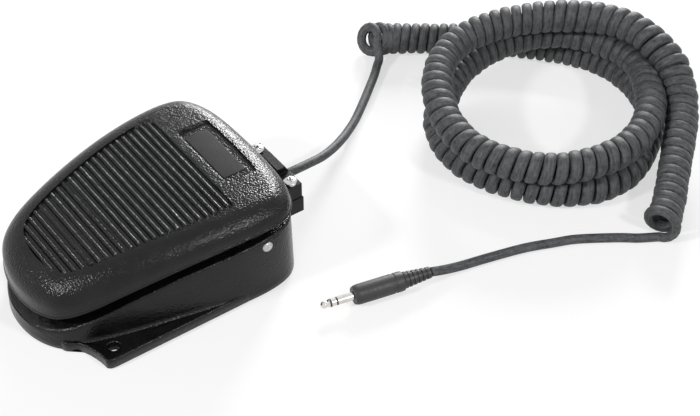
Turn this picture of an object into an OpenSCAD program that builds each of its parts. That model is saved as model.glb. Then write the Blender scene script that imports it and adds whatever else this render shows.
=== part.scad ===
// Push-to-talk foot switch: a cast treadle over a cast base with two ears,
// a sprung hinge, a snap-action switch, and a curly cord that ends in a phone plug.
// +Y is the heel, where the cord leaves; -Y is the toe. The base stands on z = 0.

/* [Base casting] */
// Wall thickness of the base ring
base_wall = 3.2; // [2.4:0.2:4]
// Height of the base's top edge at its highest line
base_height = 29.15; // [27:0.05:30]
// Lean of the base wall, outward towards the floor
base_draft = 1.5; // [0:0.5:3]
// Radius of the soft top edge of the base
base_edge = 1.2; // [0.6:0.2:1.4]
// Width of the ledge inside the base's top edge
ledge_width = 9; // [6:0.5:10]
// Thickness of that ledge
ledge_thick = 3; // [2:0.2:4]
// Gap between the rim of the base casting and the floor
rim_lift = 0.4; // [0.2:0.1:0.8]
// Thickness of the two ears
ear_thick = 4.8; // [4:0.2:6]
// Half of the width over the two ears
ear_reach = 42; // [41:0.5:44]
// Place across the base of each ear hole
ear_hole_x = 35.5; // [34:0.5:36.5]
// Place along the base of the ear holes
ear_hole_y = -40.2; // [-41:0.1:-37]
// Radius of each ear hole
ear_hole_r = 2.4; // [1.8:0.1:2.8]

/* [Treadle casting] */
// Height of the treadle's top at its highest line
treadle_height = 44.9; // [44:0.1:46]
// Height of the treadle's side, from its lower edge to its top
treadle_depth = 9.4; // [9:0.1:9.9]
// Wall thickness of the treadle shell
treadle_wall = 3.2; // [2.6:0.2:3.6]
// Width of the rounded rim, seen from above
rim_width = 9.6; // [8:0.2:10]
// Drop of the rounded rim
rim_drop = 8.2; // [6:0.2:8.2]
// Depth of the recess that holds the ribs
field_depth = 1.1; // [0.8:0.1:1.6]
// Depth of the pocket for the label plate
pocket_depth = 2; // [1.6:0.1:2.4]

/* [Tread ribs] */
// Number of ribs
rib_count = 23; // [19:1:23]
// Distance from rib to rib
rib_pitch = 3.14; // [3:0.02:3.14]
// Width of each rib
rib_width = 1.5; // [1.2:0.1:2]
// Height of each rib over the floor of the recess
rib_height = 1.2; // [0.8:0.1:1.5]
// Gap between a rib's end and the edge of the recess
rib_end_gap = 0.9; // [0.6:0.1:1.4]

/* [Hinge] */
// Place of the hinge along the pedal
hinge_y = 28.7; // [27:0.1:30]
// Height of the hinge
hinge_z = 25.1; // [24.5:0.1:25.5]
// Radius of the pivot pin
pin_r = 2.38; // [2:0.02:2.6]
// Length of pivot pin that stands out of the base on each side
pin_proud = 0.9; // [0.5:0.1:1.5]
// Radius of the bushes' outside
bush_r = 3.6; // [3.3:0.1:4]
// Thickness of each lug of the treadle
lug_thick = 5; // [4:0.5:6]
// Outer face of each lug, measured from the middle
lug_face_x = 35.8; // [35:0.1:36]
// Clearance of a running fit
run_gap = 0.05; // [0.02:0.01:0.08]
// Clearance of pieces that only seat
seat_gap = 0.02; // [0.01:0.01:0.05]

/* [Switch] */
// Length of the switch case
switch_length = 27.8; // [26:0.2:29]
// Width of the switch case
switch_width = 10.3; // [9:0.1:11]
// Height of the switch case
switch_height = 15.9; // [15:0.1:16.4]
// Height between the switch case and the treadle's ceiling, for the plunger and its screw
actuator_room = 12.7; // [12.3:0.1:13.2]
// Distance between the switch's two mounting holes
switch_hole_pitch = 22.2; // [20:0.2:22.4]
// Height that the plunger stands out of the case
plunger_stand = 3.2; // [3:0.1:3.6]
// Radius of the actuator screw
actuator_r = 2; // [1.5:0.1:2.5]
// Thickness of the switch bracket
bracket_thick = 1.5; // [1:0.1:2]

/* [Bottom] */
// Thickness of the rubber pad
pad_thick = 1.4; // [1:0.1:2]
// Thickness of the bottom plate
plate_thick = 1.2; // [0.8:0.1:1.6]
// Radius of the bottom plate screws
plate_screw_r = 1.5; // [1.2:0.1:1.8]
// Height of the bosses that take the bottom plate screws
boss_height = 9; // [6:0.5:12]

/* [Return spring] */
// Place of the spring along the pedal
spring_y = -24; // [-26:1:-22]
// Radius of the spring, to the middle of its wire
spring_r = 5; // [4:0.2:6]
// Radius of the spring wire
wire_r = 0.55; // [0.4:0.05:0.7]
// Number of turns in the spring
spring_turns = 7; // [5:1:9]

/* [Cord clamp] */
// Half width of the clamp blocks
clamp_half = 15.9; // [15:0.1:17]
// Place of the clamp's outer face
clamp_face_y = 63.25; // [61:0.25:64]
// Underside of the lower clamp block
clamp_floor = 7.1; // [6:0.1:8]
// Height of the seam between the blocks, where the cord lies
cord_height = 14.7; // [14:0.1:15.5]
// Top of the upper clamp block
clamp_top = 22.3; // [21.5:0.1:22.8]
// Radius of the cord where it isn't wound
cord_r = 1.85; // [1.6:0.05:2]
// Radius over the wound part of the cord
coil_r = 6.8; // [6:0.1:6.8]

/* [Hidden] */
$fn = 48;
through = 60;
steps = 6;

// Colours
black_paint = [0.06, 0.06, 0.06];
dark_plastic = [0.1, 0.1, 0.1];
bright_steel = [0.75, 0.75, 0.77];
cord_black = [0.12, 0.12, 0.13];

// Control points of the half outlines, from the heel to the toe
treadle_points = [[20, 49.7], [36, 45.2], [43.7, 35.8], [42, 9.4], [35.9, -22.9], [27.3, -53.3], [11.6, -61.9]];
base_points = [[22.3, 49.5], [34.6, 45.7], [40.9, 36.7], [41.7, 16.6], [37.1, -7.5], [31.4, -35],
    [24.9, -53.9], [10.1, -63]];
field_points = [[30, 20.5], [32.4, 19.5], [32, 9], [29.8, -7], [25.5, -27], [19.5, -47.5], [12, -54.6],
    [5, -55.2]];
ear_points = [[20, 22], [ear_reach, 22], [ear_reach, 14], [ear_reach, -38], [ear_reach, -46.4], [37.5, -46.6],
    [31, -48.2], [25.5, -51], [23.5, -56], [16, -56]];

// Crown lines: each height falls off from its highest line along the pedal
base_crown = 0.0022;
base_crest_y = 36.4;
treadle_crown = 0.0021;
treadle_crest_y = 22.6;
treadle_edge_crest_y = 34.9;
base_top = function (y) base_height - base_crown * pow(y - base_crest_y, 2);
treadle_top = function (y) treadle_height - treadle_crown * pow(y - treadle_crest_y, 2);
treadle_edge = function (y) treadle_height - treadle_depth - treadle_crown * pow(y - treadle_edge_crest_y, 2);
treadle_ceiling = function (y) treadle_top(y) - treadle_wall;

// A half outline is a smooth curve that touches each leg of its control line at the middle.
function mid(a, b) = (a + b) / 2;
function mirrored(p) = [-p[0], p[1]];
function leg_start(pts, i) = i == 0 ? mid(pts[0], mirrored(pts[0])) : mid(pts[i - 1], pts[i]);
function leg_end(pts, i) = i == len(pts) - 1 ? mid(pts[i], mirrored(pts[i])) : mid(pts[i], pts[i + 1]);
function bend(a, b, c, t) = pow(1 - t, 2) * a + 2 * t * (1 - t) * b + pow(t, 2) * c;
function slope(a, b, c, t) = 2 * (1 - t) * (b - a) + 2 * t * (c - b);
function outward(d) = [-d[1], d[0]] / norm(d);
function half_at(pts, i, t, grow) =
    let (a = leg_start(pts, i), c = leg_end(pts, i), p = bend(a, pts[i], c, t))
    p + grow(p[1]) * outward(slope(a, pts[i], c, t));
function half_outline(pts, grow) = [
    for (i = [0 : len(pts) - 1])
        for (k = [0 : steps - (i == len(pts) - 1 ? 0 : 1)])
            half_at(pts, i, k / steps, grow)
];
function backwards(list) = [for (i = [len(list) - 1 : -1 : 0]) list[i]];
function inner_points(list) = [for (i = [1 : len(list) - 2]) list[i]];
function whole_outline(half) = concat(half, [for (p = backwards(inner_points(half))) mirrored(p)]);

// A crowned solid: rings of one outline, each with its own growth and height, closed by
// strips that run across the pedal so that the crown is followed exactly.
function mirrored3(p) = [-p[0], p[1], p[2]];
function whole_ring(half3) = concat(half3, [for (p = backwards(inner_points(half3))) mirrored3(p)]);
function strip_faces(first, n, flip) =
    let (m = n / 2)
    [for (i = [0 : m - 1])
        let (a = first + i, b = first + i + 1, c = first + (n - i - 1), d = first + (n - i) % n)
        let (quad = i == 0 ? [a, b, c] : (i == m - 1 ? [a, b, d] : [a, b, c, d]))
        flip ? backwards(quad) : quad];
function side_faces(n, rings) = [
    for (r = [0 : rings - 2])
        for (i = [0 : n - 1])
            let (a = r * n + i, b = r * n + (i + 1) % n)
            each [[a, b, b + n], [a, b + n, a + n]]
];
module ring_solid(rings) {
    n = len(rings[0]);
    polyhedron(
        points = [for (ring = rings) each ring],
        faces = concat(
            side_faces(n, len(rings)),
            strip_faces(0, n, true),
            strip_faces((len(rings) - 1) * n, n, false)),
        convexity = 4);
}
// Growth and level are functions of the place along the pedal.
function crown_ring(pts, grow, level) =
    whole_ring([for (p = half_outline(pts, grow)) [p[0], p[1], level(p[1])]]);
function by(amount) = function (y) amount;

// The rim's rounding, as an angle from the skirt to the top
rim_angles = [0, 18, 36, 54, 72, 90];

module rounded_crown(pts, inset, width, drop, top, bottom) {
    ring_solid(concat(
        [crown_ring(pts, by(-inset), bottom)],
        [for (a = rim_angles)
            crown_ring(pts, by(-inset - width * (1 - cos(a))), function (y) top(y) - drop * (1 - sin(a)))]));
}

module both_sides() {
    children();
    mirror([1, 0, 0]) children();
}
module across(x, y, z, length, r) {
    translate([x, y, z]) rotate([0, 90, 0]) cylinder(h = length, r = r);
}
module along(x, y, z, length, r) {
    translate([x, y, z]) rotate([-90, 0, 0]) cylinder(h = length, r = r);
}
module upright(x, y, z, length, r) {
    translate([x, y, z]) cylinder(h = length, r = r);
}

// Base casting
draft_run = tan(base_draft);
plate_floor = pad_thick;
plate_top = plate_floor + plate_thick;
boss_spots = [[34.2, 33.6], [21, -46]];
boss_r = 4;
function base_spread(z) = function (y) max(0, base_top(y) - z) * draft_run;
rest_y = hinge_y + 6;
rest_top = hinge_z - bush_r - 0.6;
rest_gap = 0.05;
clamp_screw_x = 10;
clamp_screw_z = 10.6;
clamp_screw_r = 1.5;
grommet_r = 3.4;

ledge_end_y = 14;
ledge_start_y = 20;
function ledge_share(y) = max(0, min(1, (ledge_start_y - y) / (ledge_start_y - ledge_end_y)));
ledge_inset = function (y) -base_wall - (ledge_width - base_wall) * ledge_share(y);
ledge_floor = function (y) base_top(y) - ledge_thick;

module base_ring() {
    difference() {
        ring_solid([
            crown_ring(base_points, base_spread(rim_lift), by(rim_lift)),
            crown_ring(base_points, by(base_edge * draft_run), function (y) base_top(y) - base_edge),
            crown_ring(base_points, by(-base_edge * 0.3), function (y) base_top(y) - base_edge * 0.3),
            crown_ring(base_points, by(-base_edge), base_top)]);
        ring_solid([
            crown_ring(base_points, function (y) base_spread(rim_lift)(y) - base_wall, by(rim_lift - 1)),
            crown_ring(base_points, by(-base_wall), ledge_floor)]);
        ring_solid([
            crown_ring(base_points, ledge_inset, function (y) ledge_floor(y) - 0.5),
            crown_ring(base_points, ledge_inset, by(base_height + 1))]);
    }
}

module ear_plate() {
    half = [
        for (i = [1 : len(ear_points) - 2])
            for (k = [0 : steps - 1])
                bend(mid(ear_points[i - 1], ear_points[i]), ear_points[i], mid(ear_points[i], ear_points[i + 1]),
                    k / steps)
    ];
    translate([0, 0, rim_lift]) linear_extrude(ear_thick) polygon(half);
}

module base_inside() {
    ring_solid([
        crown_ring(base_points, by(0.5 - base_wall), by(-1)),
        crown_ring(base_points, by(0.5 - base_wall), by(base_height))]);
}

module base_casting() color(black_paint) {
    difference() {
        union() {
            base_ring();
            both_sides() difference() {
                ear_plate();
                base_inside();
            }
            both_sides() for (spot = boss_spots)
                upright(spot[0], spot[1], plate_top, boss_height, boss_r);
            both_sides() translate([lug_face_x - lug_thick, rest_y - 2, rest_top - 6])
                cube([8, 5, 6]);
        }
        both_sides() for (spot = boss_spots)
            upright(spot[0], spot[1], plate_top - 1, boss_height, plate_screw_r + seat_gap);
        both_sides() upright(ear_hole_x, ear_hole_y, -1, through, ear_hole_r);
        across(-through, hinge_y, hinge_z, 2 * through, pin_r + seat_gap);
        along(0, 0, cord_height, 2 * through, grommet_r + seat_gap);
        both_sides() along(clamp_screw_x, 0, clamp_screw_z, 2 * through, clamp_screw_r + seat_gap);
    }
}

// Treadle casting
lug_r = bush_r + 2;
lug_tail = 3;
switch_boss_r = 4.5;
spring_boss_r = 6.5;
stop_boss_r = 5;
label_half_x = 15;
label_mid_y = 31;
label_half_y = 5;
pocket_half_x = 19;
pocket_half_y = 8;
pocket_mid_y = 32.8;
pocket_corner = 3;
plunger_y = 0;
switch_floor = treadle_ceiling(plunger_y) - actuator_room - switch_height;
plunger_top = switch_floor + switch_height + plunger_stand;
tip_gap = 0.1;
nut_thick = 3.2;
switch_boss_floor = plunger_top + 5;
spring_boss_floor = 27;
stop_y = -44;
stop_boss_floor = 19.5;
hinge_range = 3.5;
field_floor = function (y) treadle_top(y) - field_depth;
pocket_floor = function (y) treadle_top(y) - pocket_depth;
first_rib_y = 18.1;

module treadle_shell() {
    difference() {
        rounded_crown(treadle_points, 0, rim_width, rim_drop, treadle_top, treadle_edge);
        rounded_crown(treadle_points, treadle_wall, rim_width - treadle_wall, rim_drop - treadle_wall,
            treadle_ceiling, function (y) treadle_edge(y) - 2);
    }
}

ridge_width = 0.8;
ridge_height = 0.35;
module field_ridge() {
    ring_solid([
        crown_ring(field_points, by(ridge_width), function (y) treadle_top(y) - 1),
        crown_ring(field_points, by(ridge_width), function (y) treadle_top(y) + ridge_height)]);
}

module field_space() {
    ring_solid([
        crown_ring(field_points, by(0), field_floor),
        crown_ring(field_points, by(0), by(through))]);
}

module tread_ribs() {
    intersection() {
        for (i = [0 : rib_count - 1])
            let (y = first_rib_y - i * rib_pitch, z = treadle_top(y) - field_depth)
            translate([-through, y, z]) rotate([90, 0, 90]) linear_extrude(2 * through) union() {
                translate([-rib_width / 2, -1]) square([rib_width, rib_height + 1 - rib_width / 2]);
                translate([0, rib_height - rib_width / 2]) circle(r = rib_width / 2, $fn = 16);
            }
        translate([0, 0, -1]) linear_extrude(through)
            polygon(whole_outline(half_outline(field_points, by(-rib_end_gap))));
    }
}

module label_pocket() {
    translate([0, pocket_mid_y, treadle_top(pocket_mid_y) - pocket_depth])
        linear_extrude(through) rounded_plate(pocket_half_x, pocket_half_y, pocket_corner);
}
module rounded_plate(half_x, half_y, corner) {
    union() {
        square([2 * half_x, 2 * (half_y - corner)], center = true);
        square([2 * (half_x - corner), 2 * half_y], center = true);
        for (x = [-1, 1], y = [-1, 1])
            translate([x * (half_x - corner), y * (half_y - corner)]) circle(r = corner);
    }
}

module hinge_lug() {
    translate([lug_face_x - lug_thick, 0, 0]) rotate([90, 0, 90]) linear_extrude(lug_thick) union() {
        translate([hinge_y, hinge_z]) circle(r = lug_r);
        translate([hinge_y - lug_r, hinge_z]) square([2 * lug_r, treadle_ceiling(hinge_y) + 0.5 - hinge_z]);
        translate([hinge_y, rest_top + rest_gap]) square([lug_r + lug_tail, 4]);
    }
}

module ceiling_boss(y, floor_z, r) {
    upright(0, y, floor_z, treadle_ceiling(y) + 1 - floor_z, r);
}

module treadle_casting() color(black_paint) {
    difference() {
        union() {
            treadle_shell();
            field_ridge();
            both_sides() hinge_lug();
            ceiling_boss(plunger_y, switch_boss_floor, switch_boss_r);
            ceiling_boss(spring_y, spring_boss_floor, spring_boss_r);
            ceiling_boss(spring_y, spring_boss_floor - 5, spring_r - wire_r - 0.5);
            ceiling_boss(stop_y, stop_boss_floor, stop_boss_r);
        }
        field_space();
        label_pocket();
        across(-through, hinge_y, hinge_z, 2 * through, bush_r + seat_gap);
        upright(0, plunger_y, switch_boss_floor - 1, screw_length - 2.5, actuator_r + seat_gap);
    }
    tread_ribs();
}

module label_plate() color(dark_plastic) {
    translate([0, label_mid_y, treadle_top(pocket_mid_y) - pocket_depth + seat_gap])
        linear_extrude(0.8) rounded_plate(label_half_x, label_half_y, 0.8);
}

// Hinge
pin_half = max([for (p = half_outline(base_points, by(0))) p[0]]) + pin_proud;
module pivot_pin() color(bright_steel) {
    across(-pin_half, hinge_y, hinge_z, 2 * pin_half, pin_r);
}
wall_gap = 0.3;
module pivot_bushes() color("tan") {
    both_sides() difference() {
        union() {
            across(lug_face_x - lug_thick, hinge_y, hinge_z, lug_thick + 1, bush_r);
            across(lug_face_x + seat_gap, hinge_y, hinge_z, 1.3, bush_r + 1);
        }
        across(0, hinge_y, hinge_z, through, pin_r + run_gap);
    }
}

// Bottom plate, its screws and its rubber pad
plate_margin = 0.4;
pad_margin = 1.5;
module inside_plate(margin, thick) {
    linear_extrude(thick) polygon(whole_outline(half_outline(base_points, by(-base_wall - margin))));
}
module bottom_plate() color("gray") {
    difference() {
        translate([0, 0, plate_floor]) inside_plate(plate_margin, plate_thick - seat_gap);
        both_sides() for (spot = boss_spots)
            upright(spot[0], spot[1], -1, through, plate_screw_r + 0.3);
        upright(0, spring_y, -1, through, seat_pin_r + seat_gap);
        upright(0, stop_y, -1, through, bumper_stem_r + seat_gap);
        for (y = bracket_screw_ys)
            upright(bracket_screw_x, y, -1, through, bracket_screw_r + seat_gap);
    }
}
screw_head_r = 2.8;
screw_head = 1;
module bottom_plate_screws() color(bright_steel) {
    both_sides() for (spot = boss_spots) {
        upright(spot[0], spot[1], plate_floor - screw_head - seat_gap, screw_head, screw_head_r);
        upright(spot[0], spot[1], plate_floor - screw_head / 2, boss_height, plate_screw_r);
    }
}
module rubber_pad() color("dimgray") {
    difference() {
        inside_plate(pad_margin, pad_thick - seat_gap);
        both_sides() for (spot = boss_spots)
            upright(spot[0], spot[1], -1, through, screw_head_r + 0.4);
        upright(0, spring_y, -1, through, seat_pin_r + 1.5);
        upright(0, stop_y, -1, through, bumper_stem_r + 1.5);
        for (y = bracket_screw_ys)
            upright(bracket_screw_x, y, -1, through, 3.2);
    }
}

// Return spring between its seat on the bottom plate and the treadle's boss
seat_pin_r = 1.5;
seat_thick = 1.5;
spring_floor = plate_top + seat_thick;
spring_gap = 0.02;
wire_sides = 6;
turn_steps = 14;
function cross_axis(u, v) = cross(u, v) / norm(cross(u, v));
function path_direction(path, i) =
    let (d = path[min(i + 1, len(path) - 1)] - path[max(i - 1, 0)]) d / norm(d);
function path_ring(path, i, r, sides) =
    let (t = path_direction(path, i), side = cross_axis(t, [0, 0, 1]), up = cross(side, t))
    [for (k = [0 : sides - 1]) path[i] + r * (cos(360 * k / sides) * side + sin(360 * k / sides) * up)];
module swept_tube(path, r, sides) {
    last = (len(path) - 1) * sides;
    polyhedron(
        points = [for (i = [0 : len(path) - 1]) each path_ring(path, i, r, sides)],
        faces = concat(
            [for (i = [0 : len(path) - 2])
                for (k = [0 : sides - 1])
                    let (a = i * sides + k, b = i * sides + (k + 1) % sides)
                    each [[a, a + sides, b + sides], [a, b + sides, b]]],
            [[for (k = [0 : sides - 1]) k]],
            [[for (k = [sides - 1 : -1 : 0]) last + k]]),
        convexity = 8);
}
module return_spring() color(bright_steel) {
    low = spring_floor + wire_r + spring_gap;
    high = spring_boss_floor - wire_r - spring_gap;
    count = spring_turns * turn_steps;
    swept_tube([
        for (i = [0 : count])
            let (turn = i / turn_steps, climb = max(0, min(1, (turn - 1) / (spring_turns - 2))))
            [spring_r * cos(360 * turn), spring_y + spring_r * sin(360 * turn),
                low + climb * (high - low)]
    ], wire_r, wire_sides);
}
module spring_seat() color("gray") {
    upright(0, spring_y, plate_top, seat_thick, spring_r + wire_r + 1);
    upright(0, spring_y, plate_floor, plate_thick + 1, seat_pin_r);
    upright(0, spring_y, plate_top, seat_thick + 3, spring_r - wire_r - 0.4);
}

// Rubber bumper that stops the treadle at the end of its travel
bumper_stem_r = 1.5;
bumper_r = 5.5;
stop_drop = (hinge_y - stop_y) * sin(hinge_range);
bumper_top = stop_boss_floor - stop_drop - 0.6;
module stop_bumper() color("dimgray") {
    difference() {
        upright(0, stop_y, plate_top + seat_gap, bumper_top - plate_top, bumper_r);
        upright(0, stop_y, bumper_top - 4, 8, bumper_r - 3);
    }
    upright(0, stop_y, plate_floor, plate_thick + 1, bumper_stem_r);
}

// Snap-action switch on its bracket
switch_half = switch_width / 2;
switch_y = plunger_y + 4;
bracket_screw_x = -11;
bracket_screw_ys = [switch_y - 9, switch_y + 9];
bracket_screw_r = 1.5;
bracket_foot = 10;
switch_hole_r = 1.55;
switch_hole_z = switch_floor + 3;
switch_hole_ys = [switch_y - switch_hole_pitch / 2, switch_y + switch_hole_pitch / 2];
cover_thick = 2.4;
plunger_half = 1.6;
plunger_hole_half = plunger_half + 0.1;
plunger_travel = (hinge_y - plunger_y) * hinge_range * PI / 180;
plunger_depth = 4;
module switch_bracket() color(bright_steel) {
    difference() {
        union() {
            translate([-switch_half - bracket_thick - seat_gap, switch_y - switch_length / 2, plate_top])
                cube([bracket_thick, switch_length, switch_floor + 9 - plate_top]);
            translate([-switch_half - bracket_thick - bracket_foot, switch_y - switch_length / 2, plate_top])
                cube([bracket_foot + bracket_thick - seat_gap, switch_length, bracket_thick]);
        }
        for (y = bracket_screw_ys)
            upright(bracket_screw_x, y, 0, through, bracket_screw_r + seat_gap);
        for (y = switch_hole_ys)
            across(-through, y, switch_hole_z, through, switch_hole_r);
    }
}
module bracket_screws() color(bright_steel) {
    for (y = bracket_screw_ys) {
        upright(bracket_screw_x, y, plate_floor - 0.8, plate_thick + bracket_thick + 3.2, bracket_screw_r);
        upright(bracket_screw_x, y, plate_top + bracket_thick + seat_gap, 1.8, 2.8);
    }
}
module switch_block(x0, x1) {
    translate([x0, switch_y - switch_length / 2, switch_floor]) cube([x1 - x0, switch_length, switch_height]);
}
module switch_holes() {
    for (y = switch_hole_ys)
        across(-through, y, switch_hole_z, 2 * through, switch_hole_r);
}
module switch_case() color([0.55, 0.12, 0.1]) {
    difference() {
        switch_block(-switch_half, switch_half - cover_thick);
        switch_holes();
        translate([-plunger_hole_half, plunger_y - plunger_hole_half,
            switch_floor + switch_height - plunger_depth - plunger_travel - 0.5])
            cube([2 * plunger_hole_half, 2 * plunger_hole_half, through]);
        for (y = terminal_ys)
            translate([-terminal_thick / 2 - run_gap, y - terminal_half - run_gap, -1])
                cube([terminal_thick + 2 * run_gap, 2 * (terminal_half + run_gap), switch_floor + 4]);
    }
}
module switch_cover() color(dark_plastic) {
    difference() {
        switch_block(switch_half - cover_thick + seat_gap, switch_half);
        switch_holes();
    }
}
module switch_plunger() color("ivory") {
    translate([-plunger_half, plunger_y - plunger_half, switch_floor + switch_height - plunger_depth])
        cube([2 * plunger_half, 2 * plunger_half, plunger_depth + plunger_stand]);
}
terminal_pitch = 7;
terminal_half = 2.4;
terminal_thick = 0.8;
terminal_root = 2.9;
terminal_drop = 0.64 * (switch_floor - plate_top);
terminal_ys = [for (k = [-1 : 1]) switch_y + k * terminal_pitch];
module switch_terminals() color("gold") {
    for (y = terminal_ys)
        difference() {
            translate([-terminal_thick / 2, y - terminal_half, switch_floor - terminal_drop])
                cube([terminal_thick, 2 * terminal_half, terminal_drop + terminal_root]);
            across(-1, y, switch_floor - terminal_drop + 2.4, 2, 0.9);
        }
}
module switch_screws() color(bright_steel) {
    for (y = switch_hole_ys) {
        across(-switch_half - bracket_thick - 1.5, y, switch_hole_z, switch_width + bracket_thick + 2, 1.5);
        across(switch_half + seat_gap, y, switch_hole_z, 1.8, 2.7);
    }
}
wire_sleeve_r = 0.7;
wire_routes = [
    [[1.6, terminal_ys[0], switch_floor - 2.6], [4, -2, switch_floor - 4.2], [6.5, 6, 6.2], [7.5, 16, 6.4],
        [6, 26, 8.5], [3, 34, 12.5], [0.8, 38.5, cord_height]],
    [[-1.6, terminal_ys[2], switch_floor - 2.6], [-3, 14, switch_floor - 4.2], [-3.8, 20, 6.6], [-5, 28, 9],
        [-3, 34, 12.5], [-0.8, 38.5, cord_height]]
];
module switch_wires() color("firebrick") {
    for (route = wire_routes) swept_tube(route, wire_sleeve_r, 8);
}

// Actuator screw and its lock nut in the treadle's boss
screw_floor = plunger_top + tip_gap;
screw_tip = 0.8;
screw_length = 9;
module actuator_screw() color(bright_steel) {
    upright(0, plunger_y, screw_floor + screw_tip, screw_length, actuator_r);
    upright(0, plunger_y, screw_floor, 2 * screw_tip, actuator_r - 0.6);
}
module actuator_nut() color(bright_steel) {
    difference() {
        translate([0, plunger_y, switch_boss_floor - nut_thick - seat_gap]) cylinder(h = nut_thick, r = 4, $fn = 6);
        upright(0, plunger_y, 0, through, actuator_r + seat_gap);
    }
}

// Cord clamp on the heel wall
clamp_screw_y = 59;
clamp_screw_reach = 12.4;
clamp_root_y = 45;
head_room = 3.5;
saddle_half = 6;
saddle_rise = 3;
saddle_y = 54;
groove_r = cord_r + seat_gap;
upper_face_y = clamp_face_y - 0.45;
module heel_space(z) {
    translate([0, 0, -1]) linear_extrude(through)
        polygon(whole_outline(half_outline(base_points, function (y) base_spread(z)(y) + wall_gap / 3)));
}
module clamp_block(face_y, floor_z, top_z, half) {
    difference() {
        translate([-half, clamp_root_y, floor_z]) cube([2 * half, face_y - clamp_root_y, top_z - floor_z]);
        heel_space(floor_z);
        along(0, 0, cord_height, 2 * through, groove_r);
        both_sides() upright(clamp_screw_reach, clamp_screw_y, clamp_floor + 2, through, 1.5 + seat_gap);
        both_sides() along(clamp_screw_x, 0, clamp_screw_z, clamp_screw_y - head_room, clamp_screw_r + seat_gap);
    }
}
module clamp_lower() color(dark_plastic) {
    clamp_block(clamp_face_y, clamp_floor, cord_height, clamp_half);
}
module clamp_upper() color(dark_plastic) {
    clamp_block(upper_face_y, cord_height + seat_gap, clamp_top, clamp_half - 0.3);
    saddle_depth = upper_face_y - saddle_y;
    translate([-saddle_half, 0, 0]) rotate([90, 0, 90]) linear_extrude(2 * saddle_half)
        polygon([[saddle_y, clamp_top], [saddle_y + saddle_depth * 0.35, clamp_top + saddle_rise],
            [saddle_y + saddle_depth * 0.8, clamp_top + saddle_rise], [upper_face_y, clamp_top]]);
}
module clamp_screws() color(bright_steel) {
    both_sides() {
        upright(clamp_screw_reach, clamp_screw_y, clamp_floor + 3, clamp_top - clamp_floor - 2, 1.5);
        upright(clamp_screw_reach, clamp_screw_y, clamp_top + seat_gap, 1.7, 3);
    }
}
module clamp_mount_screws() color(bright_steel) {
    inner_y = base_points[0][1] - base_wall;
    both_sides() {
        along(clamp_screw_x, inner_y - 1, clamp_screw_z, clamp_screw_y - head_room - 0.5 - inner_y, clamp_screw_r);
        along(clamp_screw_x, inner_y - 2.3, clamp_screw_z, 1.8, 2.8);
    }
}
module cord_grommet() color("dimgray") {
    inner_y = base_points[0][1] - base_wall;
    difference() {
        union() {
            along(0, inner_y - 0.5, cord_height, base_wall + 0.5, grommet_r);
            along(0, inner_y - 2, cord_height, 1.8, grommet_r + 1.2);
        }
        along(0, 0, cord_height, through * 2, cord_r + seat_gap);
    }
}
cord_end_y = 39;
module cord_inner() color(cord_black) {
    along(0, cord_end_y, cord_height, clamp_face_y - cord_end_y, cord_r);
}

// Free cord: a straight lead, the wound length as one thick tube, and a straight tail.
lead_route = [[0, 63.3, 14.7], [0, 70, 14.7], [-1, 78, 13.6], [-5, 87, 11.5], [-13, 102, 7], [-22, 112, 4.6],
    [-32, 126.5, 2.3], [-43, 140, 2], [-51, 148.8, 2], [-55.8, 153.8, 2]];
coil_route = [[-63, 154, 7], [-56, 165, 7], [-47, 177, 7], [-37, 190, 7], [-26, 202, 7], [-13, 215, 7], [0, 225, 7],
    [14, 231.5, 7], [29, 233, 7], [45, 229, 7], [58, 220, 7], [70, 206, 7], [78, 189, 7], [77, 173, 7],
    [69, 159, 7], [57, 147.5, 7], [41, 139, 7], [24, 136.5, 7.2], [7, 141.5, 8.2], [-7, 151.5, 10],
    [-15, 166, 12.8], [-17, 182, 16], [-13.5, 197, 19], [-6, 211, 20.8], [5, 223, 20.9], [19, 230, 20.9],
    [34, 231, 20.9], [48, 224, 20.9], [61, 213, 20.9], [71, 200, 20.9], [75.5, 184, 20.9], [74, 168, 20.9],
    [67, 153, 20.9], [54, 141, 21.1], [38, 134, 21.4], [20, 135, 22.5], [4, 142, 24], [-9, 155, 26],
    [-14, 171, 29], [-11, 188, 31.8], [-5, 202, 33.4], [3, 214, 34.5], [14, 226, 34.6], [27, 233, 34.5],
    [40, 235.5, 33], [52, 237, 28.5], [63, 233, 22.5], [74, 224, 17.5], [85, 211.5, 14], [94, 200, 11.5],
    [103, 189, 9], [110.5, 177, 7]];
tail_route = [[111.1, 176, 2], [107, 170.5, 2], [100, 161, 2], [92, 149, 2], [88, 139.5, 2], [83.6, 128.3, 2],
    [80.2, 115.7, 2], [77.2, 102.8, 2], [75.5, 94, 2.8], [74, 86, 4.4]];
module cord_lead() color(cord_black) {
    swept_tube(lead_route, cord_r, 8);
}
module cord_coil() color(cord_black) {
    swept_tube(coil_route, coil_r, 10);
}
module cord_tail() color(cord_black) {
    swept_tube(tail_route, cord_r, 8);
}

// Phone plug at the end of the tail
plug_start = tail_route[len(tail_route) - 1];
plug_turn = atan2(-0.98, -0.21);
plug_gap = 0.02;
boot_length = 12;
grip_length = 22;
grip_r = 4.2;
sleeve_r = 1.75;
module plug_stage() {
    translate(plug_start) rotate([0, 0, plug_turn]) rotate([0, 90, 0]) children();
}
module stage(start, length, r0, r1) {
    translate([0, 0, start]) cylinder(h = length, r1 = r0, r2 = r1);
}
module plug_boot() color(dark_plastic) plug_stage() {
    stage(0.3, boot_length, cord_r + 0.6, grip_r - 0.7);
}
module plug_body() color(dark_plastic) plug_stage() {
    start = boot_length + 0.3 + plug_gap;
    stage(start, 2, grip_r - 0.5, grip_r);
    stage(start + 2, grip_length - 4, grip_r, grip_r);
    stage(start + grip_length - 2, 2, grip_r, grip_r - 0.6);
}
contact_start = boot_length + grip_length + 0.3 + 2 * plug_gap;
sleeve_length = 7;
ring_length = 2;
band = 0.7;
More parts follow.
